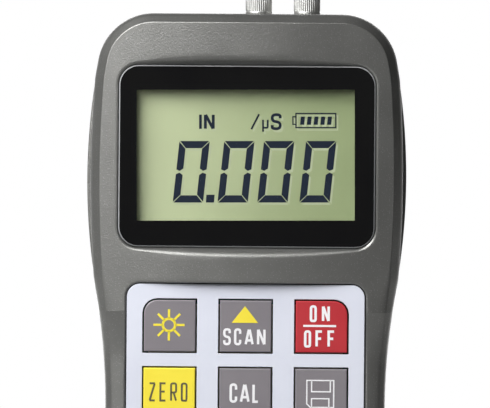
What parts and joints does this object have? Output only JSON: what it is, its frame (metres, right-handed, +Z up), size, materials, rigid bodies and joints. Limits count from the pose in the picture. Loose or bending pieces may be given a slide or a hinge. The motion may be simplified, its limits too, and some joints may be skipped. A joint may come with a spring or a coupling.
{
  "type": "ultrasonic thickness gauge",
  "caption": "Handheld ultrasonic thickness gauge: waisted two-part case, framed display, square keys, steel reference disc, probe sockets on top and a hinged battery cover.",
  "frame": {"origin": "middle of the foot, below the middle of the case", "axes": "+Z up the gauge towards the sockets, -Y out of the display, +X to the right as the display is read"},
  "size_m": [0.074, 0.032, 0.158],
  "materials": {
    "casing": "fine spark texture, satin",
    "seal_rubber": "matte",
    "screw_steel": "zinc plated",
    "lens": "polished, black printed border",
    "gasket_foam": "matte",
    "panel_glass": "reflective green grey",
    "white_plastic": "smooth",
    "clear_plastic": "frosted",
    "strip_rubber": "matte",
    "board": "solder mask",
    "chip_black": "moulded",
    "tinned_steel": "tinned",
    "capacitor_sleeve": "shrink sleeve",
    "overlay": "satin",
    "key_grey": "satin",
    "key_red": "satin",
    "key_yellow": "satin",
    "dome_film": "film",
    "dome_steel": "polished",
    "socket_metal": "ribbed, satin nickel",
    "insulator": "smooth",
    "nut_brass": "nickel plated",
    "lead_brass": "bare",
    "cell_jacket": "printed jacket, plain",
    "spring_steel": "nickel plated",
    "disc_steel": "ground",
    "label": "bare plate"
  },
  "bodies": {
    "case": {"front_shell": "casing", "rear_shell": "casing", "case_seal": "seal_rubber", "case_screws": "screw_steel", "display_lens": "lens", "lens_gasket": "gasket_foam", "display_panel": "panel_glass", "panel_frame": "white_plastic", "light_guide": "clear_plastic", "contact_strips": "strip_rubber", "main_board": "board", "board_screws": "screw_steel", "processor": "chip_black", "memory_chip": "chip_black", "screening_can": "tinned_steel", "crystal": "tinned_steel", "capacitors": "capacitor_sleeve", "sounder": "chip_black", "keypad_overlay": "overlay", "dome_sheet": "dome_film", "key_domes": "dome_steel", "transmit_socket": "socket_metal", "receive_socket": "socket_metal", "socket_cores": "insulator", "socket_nuts": "nut_brass", "socket_leads": "lead_brass", "battery_left": "cell_jacket", "battery_right": "cell_jacket", "battery_springs": "spring_steel", "battery_plates": "tinned_steel", "battery_link": "tinned_steel", "reference_disc": "disc_steel", "label_plate": "label"},
    "light_key": {"key_light": "key_grey"},
    "up_key": {"key_up": "key_grey"},
    "power_key": {"key_power": "key_red"},
    "zero_key": {"key_zero": "key_yellow"},
    "cal_key": {"key_cal": "key_grey"},
    "save_key": {"key_save": "key_grey"},
    "velocity_key": {"key_velocity": "key_grey"},
    "down_key": {"key_down": "key_grey"},
    "enter_key": {"key_enter": "key_grey"},
    "cover": {"battery_cover": "casing"}
  },
  "joints": [
    {"name": "light_press", "type": "slide", "parent": "case", "child": "light_key", "axis": [0, 1, 0], "range_m": [0, 0.0005], "stiffness_N_per_m": 1500, "springref_m": -0.0003},
    {"name": "up_press", "type": "slide", "parent": "case", "child": "up_key", "axis": [0, 1, 0], "range_m": [0, 0.0005], "stiffness_N_per_m": 1500, "springref_m": -0.0003},
    {"name": "power_press", "type": "slide", "parent": "case", "child": "power_key", "axis": [0, 1, 0], "range_m": [0, 0.0005], "stiffness_N_per_m": 1500, "springref_m": -0.0003},
    {"name": "zero_press", "type": "slide", "parent": "case", "child": "zero_key", "axis": [0, 1, 0], "range_m": [0, 0.0005], "stiffness_N_per_m": 1500, "springref_m": -0.0003},
    {"name": "cal_press", "type": "slide", "parent": "case", "child": "cal_key", "axis": [0, 1, 0], "range_m": [0, 0.0005], "stiffness_N_per_m": 1500, "springref_m": -0.0003},
    {"name": "save_press", "type": "slide", "parent": "case", "child": "save_key", "axis": [0, 1, 0], "range_m": [0, 0.0005], "stiffness_N_per_m": 1500, "springref_m": -0.0003},
    {"name": "velocity_press", "type": "slide", "parent": "case", "child": "velocity_key", "axis": [0, 1, 0], "range_m": [0, 0.0005], "stiffness_N_per_m": 1500, "springref_m": -0.0003},
    {"name": "down_press", "type": "slide", "parent": "case", "child": "down_key", "axis": [0, 1, 0], "range_m": [0, 0.0005], "stiffness_N_per_m": 1500, "springref_m": -0.0003},
    {"name": "enter_press", "type": "slide", "parent": "case", "child": "enter_key", "axis": [0, 1, 0], "range_m": [0, 0.0005], "stiffness_N_per_m": 1500, "springref_m": -0.0003},
    {"name": "cover_hinge", "type": "hinge", "parent": "case", "child": "cover", "pos_m": [0, 0.0148, 0.0162], "axis": [-1, 0, 0], "range_deg": [0, 55]}
  ]
}
